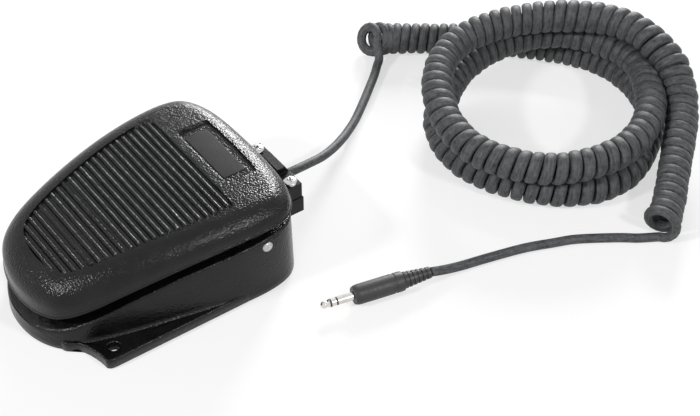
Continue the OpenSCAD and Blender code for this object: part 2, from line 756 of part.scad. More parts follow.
module plug_sleeve() color(bright_steel) plug_stage() {
    stage(contact_start, sleeve_length, sleeve_r, sleeve_r);
    stage(contact_start + sleeve_length + band + 2 * plug_gap, ring_length, sleeve_r, sleeve_r);
}
module plug_insulators() color("black") plug_stage() {
    stage(contact_start + sleeve_length + plug_gap, band, sleeve_r, sleeve_r);
    stage(contact_start + sleeve_length + band + ring_length + 3 * plug_gap, band, sleeve_r, sleeve_r);
}
module plug_tip() color(bright_steel) plug_stage() {
    tip = contact_start + sleeve_length + 2 * band + ring_length + 4 * plug_gap;
    stage(tip, 1, sleeve_r, sleeve_r - 0.45);
    stage(tip + 1, 1.3, sleeve_r - 0.45, sleeve_r - 0.1);
    stage(tip + 2.3, 1.4, sleeve_r - 0.1, 0.6);
}

base_casting();
bottom_plate();
bottom_plate_screws();
rubber_pad();
treadle_casting();
label_plate();
pivot_pin();
pivot_bushes();
return_spring();
spring_seat();
switch_bracket();
bracket_screws();
switch_case();
switch_cover();
switch_plunger();
switch_terminals();
switch_screws();
switch_wires();
actuator_screw();
actuator_nut();
stop_bumper();
clamp_lower();
clamp_upper();
clamp_screws();
clamp_mount_screws();
cord_grommet();
cord_inner();
cord_lead();
cord_coil();
cord_tail();
plug_boot();
plug_body();
plug_sleeve();
plug_insulators();
plug_tip();
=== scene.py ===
import math

import bpy
import numpy as np
from mathutils import Matrix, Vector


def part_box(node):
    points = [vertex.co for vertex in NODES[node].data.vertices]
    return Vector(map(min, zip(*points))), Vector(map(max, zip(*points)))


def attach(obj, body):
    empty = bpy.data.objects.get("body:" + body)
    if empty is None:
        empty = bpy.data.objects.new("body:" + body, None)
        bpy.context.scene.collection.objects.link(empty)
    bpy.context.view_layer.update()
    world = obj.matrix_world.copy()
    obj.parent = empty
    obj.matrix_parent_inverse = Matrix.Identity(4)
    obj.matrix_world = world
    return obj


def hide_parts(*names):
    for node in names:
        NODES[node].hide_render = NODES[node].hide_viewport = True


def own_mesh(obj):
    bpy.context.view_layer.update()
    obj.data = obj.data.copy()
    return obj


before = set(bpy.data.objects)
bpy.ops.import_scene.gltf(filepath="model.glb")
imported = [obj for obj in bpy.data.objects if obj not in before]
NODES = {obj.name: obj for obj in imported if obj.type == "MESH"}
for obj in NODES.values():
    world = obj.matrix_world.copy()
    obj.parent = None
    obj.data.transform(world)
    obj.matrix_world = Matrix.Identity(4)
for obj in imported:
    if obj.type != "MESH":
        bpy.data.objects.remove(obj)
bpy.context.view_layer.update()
MM = 0.001
scene = bpy.context.scene
scene.view_settings.view_transform = "Standard"

# ------------------------------------------------------------------ camera


def unit(v):
    """A vector, or each row of vectors, at length one."""
    return v / np.linalg.norm(v, axis=-1, keepdims=True)


def placed(side, up, back, place):
    """The matrix of an object with these axes at this place."""
    matrix = np.eye(4)
    matrix[:3, 0], matrix[:3, 1], matrix[:3, 2], matrix[:3, 3] = side, up, back, place
    return Matrix(matrix.tolist())


CAMERA_AT = (0.5011, -0.2575, 0.5497)
CAMERA_RIGHT = unit(np.array([0.5789, 0.8154, 0.0]))
CAMERA_UP = unit(np.cross([0.5966, -0.4236, 0.6816], CAMERA_RIGHT))
camera = bpy.data.objects.new("camera", bpy.data.cameras.new("camera"))
scene.collection.objects.link(camera)
scene.camera = camera
camera.data.sensor_fit = "HORIZONTAL"
camera.data.sensor_width = 36
camera.data.lens = 97.48
camera.data.clip_start = 0.01
camera.data.clip_end = 20
camera.matrix_world = placed(CAMERA_RIGHT, CAMERA_UP, np.cross(CAMERA_RIGHT, CAMERA_UP), CAMERA_AT)

# ------------------------------------------------------------------ meshes


def build(name, verts, faces, sharp=None):
    """A mesh object from points in millimetres; edges bent by more than `sharp` degrees stay sharp."""
    mesh = bpy.data.meshes.new(name)
    mesh.from_pydata((np.asarray(verts, float) * MM).tolist(), [], faces)
    mesh.validate()
    mesh.polygons.foreach_set("use_smooth", [True] * len(mesh.polygons))
    if sharp:
        mesh.set_sharp_from_angle(angle=math.radians(sharp))
    obj = bpy.data.objects.new(name, mesh)
    scene.collection.objects.link(obj)
    return obj


def merge(parts):
    """Several (verts, faces) shells as one."""
    verts, faces, first = [], [], 0
    for v, f in parts:
        v = np.asarray(v, float)
        verts.append(v)
        faces += [[first + i for i in face] for face in f]
        first += len(v)
    return np.concatenate(verts), faces


def loft(rings, closed_loop=False, capped=False):
    """Quads between rings that have the same number of points."""
    n, m = len(rings[0]), len(rings)
    verts = np.concatenate([np.asarray(r, float) for r in rings])
    faces = []
    for r in range(m if closed_loop else m - 1):
        a, b = r * n, ((r + 1) % m) * n
        for i in range(n):
            j = (i + 1) % n
            faces.append([a + i, a + j, b + j, b + i])
    if capped:
        faces.append(list(range(n))[::-1])
        faces.append([(m - 1) * n + i for i in range(n)])
    return verts, faces


def revolve(profile, sides=48):
    """A turned solid round Z from (radius, height) points, closed at both ends."""
    angles = np.linspace(0, 2 * math.pi, sides, endpoint=False)
    rings = [
        np.stack([r * np.cos(angles), r * np.sin(angles), np.full(sides, z)], 1)
        for r, z in profile
    ]
    return loft(rings, capped=True)


def moved(part, shift, axes=None):
    """Axes are what X, Y and Z turn into."""
    v = np.asarray(part[0], float)
    if axes is not None:
        v = v @ np.asarray(axes, float)
    return v + np.asarray(shift, float), part[1]


ALONG_X = [[0, 1, 0], [0, 0, 1], [1, 0, 0]]
BOX_CUTS = 4


def rounded_box(low, high, r):
    """A box whose edges and corners are rounded."""
    low, high = np.asarray(low, float), np.asarray(high, float)
    steps = np.tan(np.linspace(-math.pi / 4, math.pi / 4, 2 * BOX_CUTS + 1))
    line = np.concatenate([steps[:BOX_CUTS] - 1, [-1], [1], steps[BOX_CUTS + 1 :] + 1])
    n = len(line)
    parts = []
    for axis in range(3):
        for side in (-1, 1):
            u, v = np.meshgrid(line, line, indexing="ij")
            p = np.empty((n * n, 3))
            p[:, axis] = side * 2
            p[:, (axis + 1) % 3] = u.ravel()
            p[:, (axis + 2) % 3] = v.ravel()
            core = np.clip(p, -1, 1)
            out = np.where(core > 0, high - r, low + r) + r * unit(p - core)
            quads = [
                [i * n + j, (i + 1) * n + j, (i + 1) * n + j + 1, i * n + j + 1]
                for i in range(n - 1)
                for j in range(n - 1)
            ]
            parts.append((out, quads if side > 0 else [q[::-1] for q in quads]))
    return merge(parts)


def tube(path, radius, sides):
    """A round closed tube along points in millimetres."""
    path = np.asarray(path, float)
    along = unit(np.gradient(path, axis=0))
    side = unit(np.cross(along, [0, 0, 1.0]))
    up = np.cross(side, along)
    a = np.linspace(0, 2 * math.pi, sides, endpoint=False)
    rings = [
        p + radius * (np.cos(a)[:, None] * s + np.sin(a)[:, None] * u)
        for p, s, u in zip(path, side, up)
    ]
    return loft(rings, capped=True)


def smoothstep(a, b, x):
    t = np.clip((x - a) / (b - a), 0, 1)
    return t * t * (3 - 2 * t)


# ------------------------------------------------------------------ outlines

# corners of the right half, heel to toe, that a smooth line is drawn within
TREADLE = [(20, 49.7), (36, 45.2), (43.7, 35.8), (42, 9.4), (35.9, -22.9), (27.3, -53.3), (11.6, -61.9)]
BASE = [
    (22.3, 49.5), (34.6, 45.7), (40.9, 36.7), (41.7, 16.6), (37.1, -7.5), (31.4, -35),
    (24.9, -53.9), (10.1, -63),
]
FIELD = [
    (30, 20.5), (32.4, 19.5), (32, 9), (29.8, -7), (25.5, -27), (19.5, -47.5), (12, -54.6), (5, -55.2),
]
EAR = [
    (20, 22), (42, 22), (42, 14), (42, -38), (42, -46.4), (37.5, -46.6), (31, -48.2), (25.5, -51),
    (23.5, -56), (16, -56),
]


def arch(top, fall, middle):
    """A level along Y that falls with the square of the distance from its highest place."""
    return lambda y: top - fall * (y - middle) ** 2


base_top = arch(29.15, 0.0022, 36.4)
treadle_top = arch(44.9, 0.0021, 22.6)
treadle_edge = arch(35.5, 0.0021, 34.9)


def shift_top(level, amount):
    return lambda y: level(y) + amount


def bends(points, spacing, closed=True):
    """Points and outward directions along a smooth half outline, heel to toe."""
    pts = [np.array(p, float) for p in points]
    mid = [(a + b) / 2 for a, b in zip(pts[:-1], pts[1:])]
    if closed:
        starts = [pts[0] * (0, 1)] + mid
        ends = mid + [pts[-1] * (0, 1)]
        middles = pts
    else:
        starts, ends, middles = mid[:-1], mid[1:], pts[1:-1]
    where, out = [], []
    for k, (a, b, c) in enumerate(zip(starts, middles, ends)):
        length = np.linalg.norm(b - a) + np.linalg.norm(c - b)
        count = max(4, int(length / spacing))
        t = np.linspace(0, 1, count + 1)[:, None]
        if k < len(starts) - 1:
            t = t[:-1]
        where.append((1 - t) ** 2 * a + 2 * t * (1 - t) * b + t**2 * c)
        d = unit(2 * (1 - t) * (b - a) + 2 * t * (c - b))
        out.append(np.stack([-d[:, 1], d[:, 0]], 1))
    return np.concatenate(where), np.concatenate(out)


def whole(half):
    """Both sides of a ring, from its right half."""
    left = half[1:-1][::-1] * (-1, 1, 1)
    return np.concatenate([half, left])


class Outline:
    """A smooth outline, grown and lifted by numbers or by functions of Y."""

    def __init__(self, points, spacing):
        self.at, self.out = bends(points, spacing)

    def half(self, grow, level):
        y = self.at[:, 1]
        g = grow(y) if callable(grow) else np.full(len(y), float(grow))
        p = self.at + g[:, None] * self.out
        p[0, 0] = p[-1, 0] = 0
        z = level(p[:, 1]) if callable(level) else np.full(len(y), float(level))
        return np.column_stack([p, z])

    def ring(self, grow, level):
        return whole(self.half(grow, level))

    def soft_edge(self, degrees, level, inset, wide, down, deep):
        """Rings over a rounded edge that starts `inset` in and `down` under the level."""
        return [
            self.ring(
                -inset - wide * (1 - math.cos(a)),
                shift_top(level, -down - deep * (1 - math.sin(a))),
            )
            for a in np.radians(degrees)
        ]

    def half_width(self, y, grow=0.0):
        p = self.half(grow, 0)
        return np.interp(-np.asarray(y), -p[:, 1], p[:, 0])


def strips(n):
    """Faces that run across the first ring, from side to side."""
    faces = []
    for i in range(n // 2):
        a, b, c, d = i, i + 1, n - i - 1, (n - i) % n
        if i == n // 2 - 1:
            faces.append([a, b, d])
        else:
            faces.append([a, b, c] if i == 0 else [a, b, c, d])
    return faces


# ------------------------------------------------------------------ treadle

RIM, DROP, WALL = 9.6, 8.2, 3.2  # the rounded rim, inwards and down, and the casting's wall
BEAD, BEAD_TURN = 0.35, 0.6  # how far the lower edge stands out, and how far it turns in below
FIELD_DEPTH = 1.1
RIDGE_HEIGHT = 0.35
FIRST_RIB_Y, RIB_PITCH, LAST_RIB = 18.1, 3.14, 22
RIB_HALF, RIB_HEIGHT, RIB_POWER = 0.84, 1.25, 2.1  # a rib's section is a superellipse
POCKET_Y, POCKET_HALF_X, POCKET_HALF_Y, POCKET_CORNER, POCKET_DEPTH = 32.8, 19, 8, 3, 1.3
PLATEAU_STEPS = 151
treadle_line = Outline(TREADLE, 0.4)
field_line = Outline(FIELD, 0.5)


def field_distance(x, y):
    """Signed distance to the edge of the rib field, negative inside."""
    x = np.abs(x)
    line = field_line.at
    best = np.full(x.shape, 1e9)
    for a, b in zip(line[:-1], line[1:]):
        d = b - a
        t = np.clip(((x - a[0]) * d[0] + (y - a[1]) * d[1]) / (d @ d), 0, 1)
        best = np.minimum(best, (x - a[0] - t * d[0]) ** 2 + (y - a[1] - t * d[1]) ** 2)
    inside = (x < field_line.half_width(y)) & (y < line[0, 1]) & (y > line[-1, 1])
    return np.where(inside, -1, 1) * np.sqrt(best)


def plateau_height(x, y):
    """The top inside the rim: the sunk field, its ridge that fades at the heel, the ribs and the pocket."""
    d = field_distance(x, y)
    z = treadle_top(y) - FIELD_DEPTH * (1 - smoothstep(-0.35, 0.15, d))
    ridge = RIDGE_HEIGHT * smoothstep(-0.1, 0.3, d) * (1 - smoothstep(0.6, 1.1, d))
    z += ridge * (1 - smoothstep(8, 16, y))
    rib = np.round((FIRST_RIB_Y - y) / RIB_PITCH)
    across = np.abs(y - (FIRST_RIB_Y - RIB_PITCH * rib)) / RIB_HALF
    crest = RIB_HEIGHT * (1 - np.minimum(across, 1) ** RIB_POWER) ** (1 / RIB_POWER)
    z += crest * smoothstep(0.75, 1.5, -d) * ((rib >= 0) & (rib <= LAST_RIB))
    qx = np.abs(x) - (POCKET_HALF_X - POCKET_CORNER)
    qy = np.abs(y - POCKET_Y) - (POCKET_HALF_Y - POCKET_CORNER)
    pocket = np.hypot(np.maximum(qx, 0), np.maximum(qy, 0)) + np.minimum(np.maximum(qx, qy), 0)
    pocket -= POCKET_CORNER
    floor = treadle_top(POCKET_Y) - POCKET_DEPTH
    return z + (floor - z) * (1 - smoothstep(-0.35, 0.25, pocket))


def treadle_shell():
    outer = []
    for a in np.radians(np.linspace(-90, 0, 5)):
        bead = BEAD - BEAD_TURN * (1 - math.cos(a))
        outer.append(treadle_line.ring(bead, shift_top(treadle_edge, 0.5 + 0.5 * math.sin(a))))
    outer.append(treadle_line.ring(0.25, shift_top(treadle_edge, 0.8)))
    outer.append(treadle_line.ring(0, shift_top(treadle_edge, 1.1)))
    for k in np.linspace(0.25, 0.75, 3):
        outer.append(
            treadle_line.ring(
                0, lambda y, k=k: treadle_edge(y) + k * (treadle_top(y) - DROP - treadle_edge(y))
            )
        )
    outer += treadle_line.soft_edge(np.linspace(0, 90, 16), treadle_top, 0, RIM, 0, DROP)
    inner = treadle_line.soft_edge(
        np.linspace(90, 0, 6), treadle_top, WALL, RIM - WALL, WALL, DROP - WALL
    )
    inner.append(treadle_line.ring(-WALL, treadle_edge))
    verts, faces = loft(inner + outer)
    n = len(outer[0])
    faces = [f[::-1] for f in faces]
    faces += strips(n)

    # the plateau is a grid of heights whose two outer columns are the last ring itself
    half = treadle_line.half(-RIM, treadle_top)
    across = np.linspace(-1, 1, PLATEAU_STEPS)
    x = half[1:-1, :1] * across
    y = np.repeat(half[1:-1, 1:2], len(across), 1)
    grid = np.stack([x, y, plateau_height(x, y)], 2).reshape(-1, 3)
    first = len(verts)
    last_ring = first - n
    rows, cols = len(half) - 2, len(across)
    index = first + np.arange(rows * cols).reshape(rows, cols)
    index[:, 0] = [last_ring + n - i - 1 for i in range(rows)]
    index[:, -1] = [last_ring + i + 1 for i in range(rows)]
    index = index.tolist()
    quads = [
        [index[i][j], index[i + 1][j], index[i + 1][j + 1], index[i][j + 1]]
        for i in range(rows - 1)
        for j in range(cols - 1)
    ]
    heel, toe = last_ring, last_ring + n // 2
    quads += [[heel, index[0][j], index[0][j + 1]] for j in range(cols - 1)]
    quads += [[toe, index[-1][j + 1], index[-1][j]] for j in range(cols - 1)]
    return np.concatenate([verts, grid]), faces + quads


def ceiling(y):
    return treadle_top(y) - WALL


def ceiling_boss(y, floor, r):
    top = ceiling(y) + 1
    return moved(revolve([(r - 0.4, floor), (r, floor + 0.4), (r, top)]), (0, y, 0))


HINGE_Y, HINGE_Z = 28.7, 25.1
LUG_FACE, LUG, LUG_R, LUG_TAIL, SOFT = 35.8, 5, 5.6, 3, 0.4
REST_TOP, REST_GAP = 20.9, 0.05
SPRING_Y = -24
treadle_parts = [treadle_shell()]
for side in (-1, 1):
    x0, x1 = sorted((side * LUG_FACE, side * (LUG_FACE - LUG)))
    eye = [(LUG_R - SOFT, x0), (LUG_R, x0 + SOFT), (LUG_R, x1 - SOFT), (LUG_R - SOFT, x1)]
    neck = (x0, HINGE_Y - LUG_R, HINGE_Z), (x1, HINGE_Y + LUG_R, ceiling(HINGE_Y) + 0.5)
    tail_low = REST_TOP + REST_GAP
    rest_tail = (x0, HINGE_Y, tail_low), (x1, HINGE_Y + LUG_R + LUG_TAIL, tail_low + 4)
    treadle_parts.append(moved(revolve(eye), (0, HINGE_Y, HINGE_Z), ALONG_X))
    treadle_parts.append(rounded_box(*neck, SOFT))
    treadle_parts.append(rounded_box(*rest_tail, SOFT))
for y, floor, r in (
    (0, 36.1, 4.5),  # over the switch
    (SPRING_Y, 27, 6.5),  # over the spring
    (SPRING_Y, 22, 3.95),  # inside the spring
    (-44, 19.5, 5),  # over the bumper
):
    treadle_parts.append(ceiling_boss(y, floor, r))
treadle = build("treadle_cover", *merge(treadle_parts), sharp=50)

# ------------------------------------------------------------------ base

LIFT, EDGE, LEAN = 0.4, 1.2, math.tan(math.radians(1.5))  # off the floor, top edge's radius, draft
FILLET_LOW, FILLET_TOP, FILLET = 5.0, 7.2, 1.5
EAR_THICK, EAR_EDGE, EAR_IN_WALL = 4.8, 0.7, -1.6
EAR_HOLE, EAR_HOLE_R, HOLE_CHAMFER = np.array([35.5, -40.2]), 2.4, 0.3
LEDGE_START, LEDGE_RUN, LEDGE_REACH, LEDGE_EDGE = 20, 6, 5.8, 0.5
PLATE_BOSSES, BOSS_R, BOSS_LOW, BOSS_TOP = ((34.2, 33.6), (21, -46)), 4, 2.6, 11.6
REST_X, REST_HEEL, REST_TOE, REST_DEEP = 38.8, 37.7, 32.7, 6
base_line = Outline(BASE, 0.5)


def spread(z):
    """How far the wall's draft brings it out at this height."""
    return lambda y: np.maximum(0, base_top(y) - z) * LEAN


def ear_fillet(z):
    """The wall flares out to meet the ears."""
    rise = max(0.0, 1 - max(0.0, z - FILLET_LOW) / (FILLET_TOP - FILLET_LOW))
    amount = FILLET * (1 - math.sqrt(max(0.0, 1 - rise**2)))
    return lambda y: amount * smoothstep(-51, -47, y) * (1 - smoothstep(4, 14, y))


def ledge(y):
    """The top edge's inner side, which reaches further in ahead of the hinge."""
    return -WALL - LEDGE_REACH * np.clip((LEDGE_START - y) / LEDGE_RUN, 0, 1)


def base_ring():
    rings = [base_line.ring(lambda y: spread(LIFT)(y) - 0.3, LIFT)]
    for z in (LIFT + 0.3, 3.0, 5.0, 5.3, 5.6, 6.0, 6.5, FILLET_TOP):
        rings.append(base_line.ring(lambda y, z=z: spread(z)(y) + ear_fillet(z)(y) * (z >= 3), z))
    for k in (0.25, 0.5, 0.75):
        level = lambda y, k=k: FILLET_TOP + k * (base_top(y) - EDGE - FILLET_TOP)
        grow = lambda y, k=k: (1 - k) * (base_top(y) - FILLET_TOP) * LEAN
        rings.append(base_line.ring(grow, level))
    rings += base_line.soft_edge(np.linspace(0, 90, 8), base_top, 0, EDGE, 0, EDGE)
    for a in np.radians(np.linspace(90, 0, 5)):
        grow = lambda y, a=a: ledge(y) + LEDGE_EDGE * (1 - math.cos(a))
        rings.append(base_line.ring(grow, shift_top(base_top, -LEDGE_EDGE * (1 - math.sin(a)))))
    rings.append(base_line.ring(ledge, shift_top(base_top, -3)))
    rings.append(base_line.ring(-WALL, shift_top(base_top, -3.3)))
    rings.append(base_line.ring(lambda y: spread(LIFT)(y) - WALL, LIFT))
    return loft(rings, closed_loop=True)


def ear():
    """One ear, with its hole and soft edges, whose inner side lies inside the wall."""
    line, out = bends(EAR, 0.5, closed=False)
    wall_x = base_line.half_width(line[:, 1], EAR_IN_WALL)
    keep = np.nonzero((line[:, 0] > wall_x) & (line[:, 1] < 21))[0]
    line, out = line[keep[0] : keep[-1] + 1], out[keep[0] : keep[-1] + 1]
    inner = base_line.half(EAR_IN_WALL, 0)[:, :2]
    inner = inner[(inner[:, 1] < line[0, 1] - 0.3) & (inner[:, 1] > line[-1, 1] + 0.3)][::-1]
    tangent = unit(np.gradient(inner, axis=0))
    normal = np.stack([-tangent[:, 1], tangent[:, 0]], 1)
    loop, away = np.concatenate([line, inner]), np.concatenate([out, normal])
    angle = np.arctan2(loop[:, 1] - EAR_HOLE[1], loop[:, 0] - EAR_HOLE[0])
    spokes = np.stack([np.cos(angle), np.sin(angle)], 1)

    def level(points, z):
        return np.column_stack([points, np.full(len(points), z)])

    top, rim = LIFT + EAR_THICK, (EAR_HOLE_R + HOLE_CHAMFER) * spokes
    rings = [
        level(EAR_HOLE + EAR_HOLE_R * spokes, LIFT),
        level(EAR_HOLE + EAR_HOLE_R * spokes, top - HOLE_CHAMFER),
        level(EAR_HOLE + rim, top),
    ]
    for k in np.linspace(0.12, 0.88, 6):
        edge = loop - EAR_EDGE * away
        rings.append(level(EAR_HOLE + (1 - k) * rim + k * (edge - EAR_HOLE), top))
    for a in np.radians(np.linspace(90, 0, 6)):
        edge = loop - EAR_EDGE * (1 - math.cos(a)) * away
        rings.append(level(edge, top - EAR_EDGE * (1 - math.sin(a))))
    rings.append(level(loop, LIFT + 0.3))
    rings.append(level(loop - 0.3 * away, LIFT))
    return loft(rings, closed_loop=True)


right_ear = ear()
left_ear = (right_ear[0] * (-1, 1, 1), [f[::-1] for f in right_ear[1]])
base_parts = [base_ring(), right_ear, left_ear]
boss_profile = [(BOSS_R, BOSS_LOW), (BOSS_R, BOSS_TOP - SOFT), (BOSS_R - SOFT, BOSS_TOP)]
for side in (-1, 1):
    for x, y in PLATE_BOSSES:  # they take the bottom plate's screws
        base_parts.append(moved(revolve(boss_profile), (side * x, y, 0)))
    x0, x1 = sorted((side * (LUG_FACE - LUG), side * REST_X))  # a rest under each lug's tail
    rest = (x0, REST_TOE, REST_TOP - REST_DEEP), (x1, REST_HEEL, REST_TOP)
    base_parts.append(rounded_box(*rest, SOFT))
base = build("base_shell", *merge(base_parts), sharp=50)

# ------------------------------------------------------------------ fasteners, pin, plate and spring

HEAD_R, HEAD_HEIGHT, RECESS, ARM_HALF, ARM_REACH = 3.0, 1.7, 1.0, 0.36, 1.55
HEAD_SIDES = 96
SCREW_X, SCREW_Y, SCREW_SEAT, SCREW_LOW, SCREW_R = 12.4, 59, 22.32, 10.1, 1.5


def pan_head():
    """A pan head with a cross recess, as rings of a height field."""
    a = np.linspace(0, 2 * math.pi, HEAD_SIDES, endpoint=False)
    rings = []
    for share in [*np.linspace(0.06, 0.97, 22), 1.0]:
        x, y = share * HEAD_R * np.cos(a), share * HEAD_R * np.sin(a)
        dome = HEAD_HEIGHT * (1 - 0.42 * share**3.2) - (0.12 * HEAD_HEIGHT if share == 1 else 0)
        arm = np.minimum(
            np.maximum(np.abs(x) - ARM_HALF, np.abs(y) - ARM_REACH),
            np.maximum(np.abs(y) - ARM_HALF, np.abs(x) - ARM_REACH),
        )
        rings.append(np.stack([x, y, dome - RECESS * (1 - smoothstep(-0.12, 0.1, arm))], 1))
    rings.append(np.stack([HEAD_R * np.cos(a), HEAD_R * np.sin(a), np.zeros(HEAD_SIDES)], 1))
    verts, faces = loft(rings, capped=True)
    return verts, [f[::-1] for f in faces]


screw_parts = []
for side, turn in ((-1, 0.5), (1, 1.1)):
    c, s = math.cos(turn), math.sin(turn)
    turned_axes = [[c, s, 0], [-s, c, 0], [0, 0, 1]]
    shank = revolve([(SCREW_R, SCREW_LOW), (SCREW_R, 23.0)], 24)
    screw_parts.append(moved(pan_head(), (side * SCREW_X, SCREW_Y, SCREW_SEAT), turned_axes))
    screw_parts.append(moved(shank, (side * SCREW_X, SCREW_Y, 0)))
clamp_screws = build("clamp_screw_pair", *merge(screw_parts), sharp=40)

PIN_HALF = (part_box("pivot_pin")[1].x) / MM
pin_end = [(1.2, 0), (1.9, 0.2), (2.25, 0.55), (2.38, 1.0)]
pin_profile = [(r, depth - PIN_HALF) for r, depth in pin_end]
pin_profile += [(r, PIN_HALF - depth) for r, depth in pin_end[::-1]]
pin_part = moved(revolve(pin_profile, 64), (0, HINGE_Y, HINGE_Z), ALONG_X)
pin = build("pivot_pin_turned", *pin_part, sharp=30)

PLATE_HALF_X, PLATE_TOE, PLATE_HEEL, PLATE_THICK = 15, 26, 36.6, 0.95
plate_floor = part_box("label_plate")[0].z / MM
plate_part = rounded_box(
    (-PLATE_HALF_X, PLATE_TOE, plate_floor),
    (PLATE_HALF_X, PLATE_HEEL, plate_floor + PLATE_THICK),
    0.3,
)
plate = build("label_plate_bare", *plate_part, sharp=60)

WIRE, SPRING_R, SPRING_TURNS, SPRING_STEPS = 0.55, 5, 7, 28
SPRING_LOW, SPRING_HIGH, SPRING_GAP = 4.1, 27, 0.02
low, high = SPRING_LOW + WIRE + SPRING_GAP, SPRING_HIGH - WIRE - SPRING_GAP
turns = np.linspace(0, SPRING_TURNS, SPRING_TURNS * SPRING_STEPS + 1)
climb = np.clip((turns - 1) / (SPRING_TURNS - 2), 0, 1)  # the first and last turn lie flat
angle = 2 * math.pi * turns
spring_path = np.stack(
    [SPRING_R * np.cos(angle), SPRING_Y + SPRING_R * np.sin(angle), low + climb * (high - low)], 1
)
spring = build("return_spring_wire", *tube(spring_path, WIRE, 12))

# ------------------------------------------------------------------ cord

# the straight lead, the middle line of the winding, and the straight tail
LEAD = [
    (0, 62.4, 14.7), (0, 66, 14.7), (-0.4, 70.5, 14.2), (-2.5, 78.3, 12), (-5.6, 87.4, 9), (-9.7, 96, 6.5),
    (-14, 103.4, 4.6), (-18, 109.5, 3.2), (-23.7, 117.8, 2.2), (-31.2, 127.4, 2.05), (-38.5, 136.3, 2.05),
    (-44.5, 143.5, 2.2), (-48.8, 148.2, 2.9), (-51.1, 151, 4.6),
]
COIL = [
    (-63, 150.6, 7.6), (-60.3, 156.2, 7.3), (-55.5, 164.5, 7), (-47, 176.5, 7), (-37, 190, 7), (-26, 202, 7),
    (-13, 215, 7), (0, 225, 7), (14, 231.5, 7), (29, 233, 7), (45, 229, 7), (58, 220, 7), (69.7, 203.9, 7),
    (76.6, 189.4, 7), (76.6, 173.9, 7), (69, 159, 7), (57, 147.5, 7), (41, 139, 7), (23.6, 136.4, 7.2),
    (6.6, 141.4, 8.4), (-5.4, 153.5, 10.4), (-13.4, 168, 13), (-15.4, 184, 16), (-12, 199, 19),
    (-4.5, 212.5, 20.8), (5, 223, 20.9), (19, 230, 20.9), (34, 231, 20.9), (48.4, 224.5, 20.9),
    (62, 214.3, 20.9), (71.5, 200.7, 20.9), (76, 184.7, 20.9), (74, 168, 20.9), (67, 153, 20.9),
    (54, 141, 21.3), (38, 134.3, 22), (20, 135.3, 23.6), (4, 142, 25.8), (-9, 154.3, 28), (-14.6, 170.2, 30),
    (-11.6, 187.2, 32.2), (-5, 202, 33.6), (3, 214, 34.5), (14, 226, 34.6), (27, 233, 34.5), (39.3, 234.6, 33),
    (51, 235.4, 28.5), (62.1, 231.5, 22.5), (73.1, 222.8, 17.5), (84.3, 210.4, 14), (93.8, 199.6, 11.5),
    (103, 189, 9), (111, 177.3, 7.8),
]
TAIL = [
    (106, 169.8, 2), (101, 163.2, 2), (92, 149, 2), (88, 139.5, 2), (83.6, 128.3, 2), (80.2, 115.7, 2),
    (77.2, 102.8, 2), (75.5, 94, 2.8), (74, 86, 4.4),
]
CORD = 4.0
COIL_R = 6.95
LEG_PITCH, LOOP_PITCH, LEFT_SHORTER, END_PITCH = 4.3, 5.4, 0.7, 4.9
START, PER_TURN = 1.5, 18
FIRST_TURN, LAST_TURN = 20 / 360, 0.75
FIRST_RIGHT, FIRST_UP = np.array([0.993, 0.116, 0]), np.array([-0.07, 0.6, 0.797])
SQUARE, SECTION_SIDES = 2.9, 14


def smooth_line(points, per_leg):
    """A smooth line through every point."""
    p = np.array(points, float)
    p = np.concatenate([[2 * p[0] - p[1]], p, [2 * p[-1] - p[-2]]])
    out = []
    for a, b, c, d in zip(p[:-3], p[1:-2], p[2:-1], p[3:]):
        t = np.linspace(0, 1, per_leg, endpoint=False)[:, None]
        bend = (2 * a - 5 * b + 4 * c - d) * t**2 + (3 * b - a - 3 * c + d) * t**3
        out.append(0.5 * (2 * b + (c - a) * t + bend))
    out.append(p[-2:-1])
    return np.concatenate(out)


def running_length(points):
    return np.concatenate([[0], np.cumsum(np.linalg.norm(np.diff(points, axis=0), axis=1))])


axis = smooth_line(COIL, 24)
run = running_length(axis)
COIL_RUN = run[-1]


def near_start(s, full, none):
    """1 up to `full` mm from the coil's start, and 0 from `none` mm on."""
    return 1 - smoothstep(full, none, s)


def near_end(s, none, full):
    """0 until `none` mm before the coil's end, and 1 over its last `full` mm."""
    return smoothstep(COIL_RUN - none, COIL_RUN - full, s)


def at_run(s):
    """Points on the winding's middle line."""
    return np.stack([np.interp(s, run, axis[:, k]) for k in range(3)], 1)


def pitch_at(s):
    """Length of one turn: short before the loops and on their left side, drawn out at both ends."""
    x = np.interp(s, run, axis[:, 0])
    loops = LOOP_PITCH - LEFT_SHORTER * (1 - smoothstep(-14, 12, x))
    pitch = LEG_PITCH + (loops - LEG_PITCH) * smoothstep(70, 150, s)
    pitch += (END_PITCH - pitch) * near_end(s, 120, 60)
    return pitch + 0.3 * near_start(s, 3, 9) + 1.6 * near_end(s, 9, 3)


# how far the winding has turned, at each place along it
fine = np.linspace(START, COIL_RUN, 20001)
turned = np.concatenate([[0], np.cumsum(np.diff(fine) / pitch_at((fine[1:] + fine[:-1]) / 2))])
whole_turns = round(turned[-1] + FIRST_TURN - LAST_TURN) + LAST_TURN - FIRST_TURN
turned *= whole_turns / turned[-1]
turn = np.linspace(0, whole_turns, int(whole_turns * PER_TURN) + 1)
s = np.interp(turn, turned, fine)
pitch = pitch_at(s)

# the cord is flattened across the winding, and round again at the coil's ends
blend = smoothstep(3, 20, s) * (1 - near_end(s, 12, 2))
wide = CORD + (0.955 * np.clip(pitch, 4.2, 5.5) - CORD) * blend
deep = CORD - 0.1 * blend + 0.5 * near_start(s, 5, 12) * smoothstep(START, START + 2, s)
coil_radius = COIL_R + 0.25 * near_start(s, 20, 70) + 0.25 * near_end(s, 200, 150)
wind = coil_radius - deep / 2 + 0.9 * near_start(s, 6, 13) + 1.3 * near_end(s, 10, 3)
wind += 0.12 * np.sin(turn * 2.3) * blend + 0.08 * np.sin(turn * 0.71) * blend

